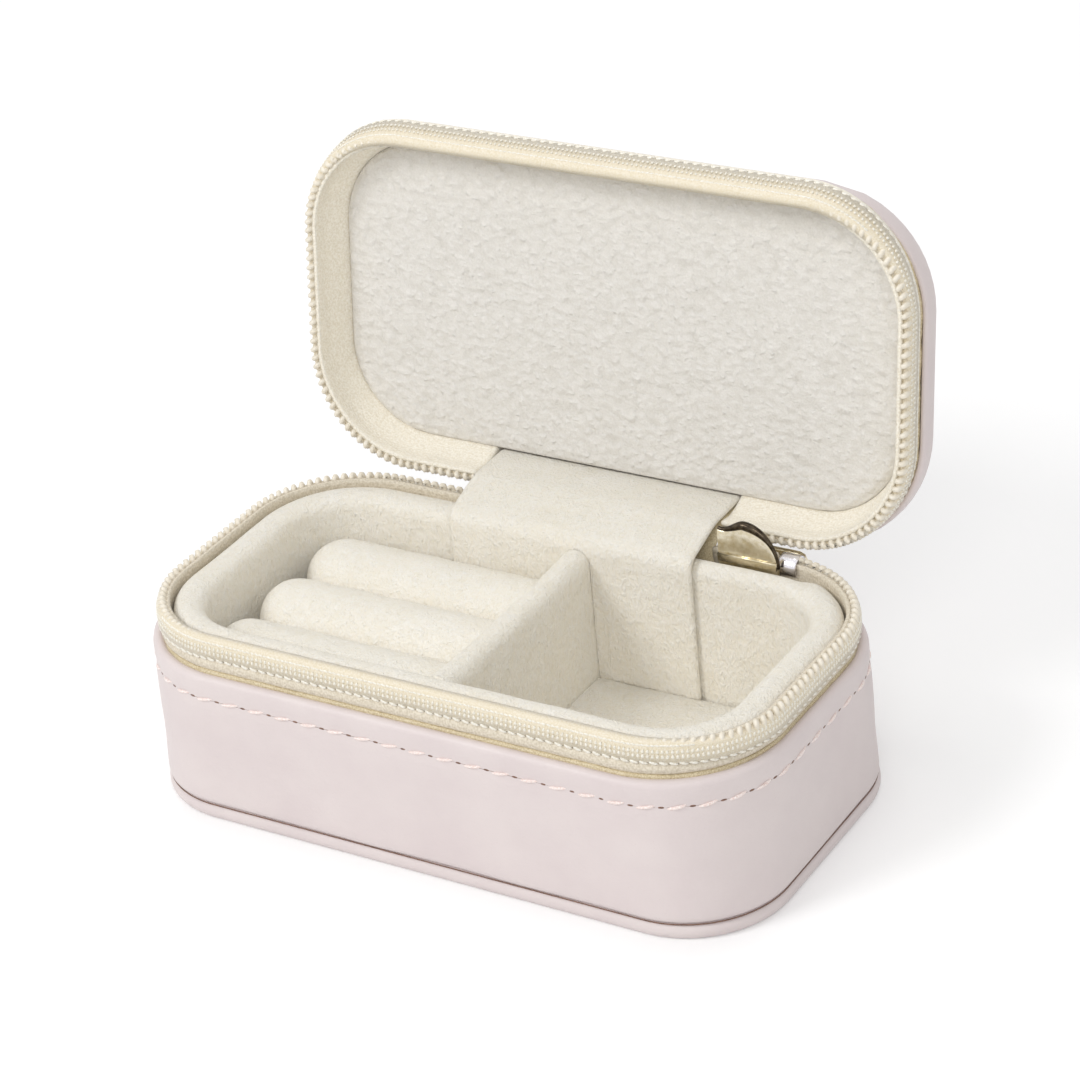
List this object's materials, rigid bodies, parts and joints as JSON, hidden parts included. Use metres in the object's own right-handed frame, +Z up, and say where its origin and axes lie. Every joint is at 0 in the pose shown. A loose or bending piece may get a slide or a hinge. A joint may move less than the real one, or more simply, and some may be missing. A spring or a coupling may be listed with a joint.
{
  "type": "jewelry box",
  "caption": "Zip-round travel jewelry box in blush leatherette with velvet-lined tray, ring rolls, divider, padded lid panel and metal zip slider, lid open.",
  "frame": {"origin": "middle of the base's underside", "axes": "+X to the right along the case's length, +Y to the rear hinge, +Z up"},
  "size_m": [0.1, 0.0715, 0.0818],
  "materials": {
    "blush_leatherette": "smooth satin with fine grain",
    "stiff_board": "matte",
    "padding_foam": "matte",
    "zip_tape": "woven",
    "zip_coil": "satin nylon",
    "cream_velvet": "short soft nap",
    "lid_suede": "mottled suede",
    "pale_gold_metal": "polished plate"
  },
  "bodies": {
    "base": {"base_bottom_cover": "blush_leatherette", "base_bottom_board": "stiff_board", "base_wall_cover": "blush_leatherette", "base_wall_board": "stiff_board", "base_zip_tape": "zip_tape", "base_zip_coil": "zip_coil", "tray_floor_card": "stiff_board", "tray_floor_foam": "padding_foam", "tray_floor_velvet": "cream_velvet", "tray_wall_velvet": "cream_velvet", "tray_wall_board": "stiff_board", "divider_velvet": "cream_velvet", "divider_board": "stiff_board", "ring_pad_card": "stiff_board", "ring_roll_front_velvet": "cream_velvet", "ring_roll_front_foam": "padding_foam", "ring_roll_middle_velvet": "cream_velvet", "ring_roll_middle_foam": "padding_foam", "ring_roll_rear_velvet": "cream_velvet", "ring_roll_rear_foam": "padding_foam", "hinge_leather": "blush_leatherette", "hinge_velvet": "cream_velvet"},
    "lid": {"lid_cover": "blush_leatherette", "lid_board": "stiff_board", "lid_panel_velvet": "lid_suede", "lid_panel_foam": "padding_foam", "lid_panel_board": "stiff_board", "lid_zip_tape": "zip_tape", "lid_zip_coil": "zip_coil"},
    "slider": {"zip_slider": "pale_gold_metal"},
    "pull": {"zip_pull": "pale_gold_metal"}
  },
  "joints": [
    {"name": "lid_hinge", "type": "hinge", "parent": "base", "child": "lid", "pos_m": [0, 0.0261, 0.03], "axis": [1, 0, 0], "range_deg": [0, 98], "deforming": ["hinge_velvet", "hinge_leather"]},
    {"name": "zip_slide", "type": "slide", "parent": "base", "child": "slider", "axis": [1, 0, 0], "range_m": [-0.0015, 0.0025]},
    {"name": "pull_swing", "type": "hinge", "parent": "slider", "child": "pull", "pos_m": [0.028, 0.02953, 0.0262], "axis": [1, 0, 0], "range_deg": [0, 80]}
  ]
}
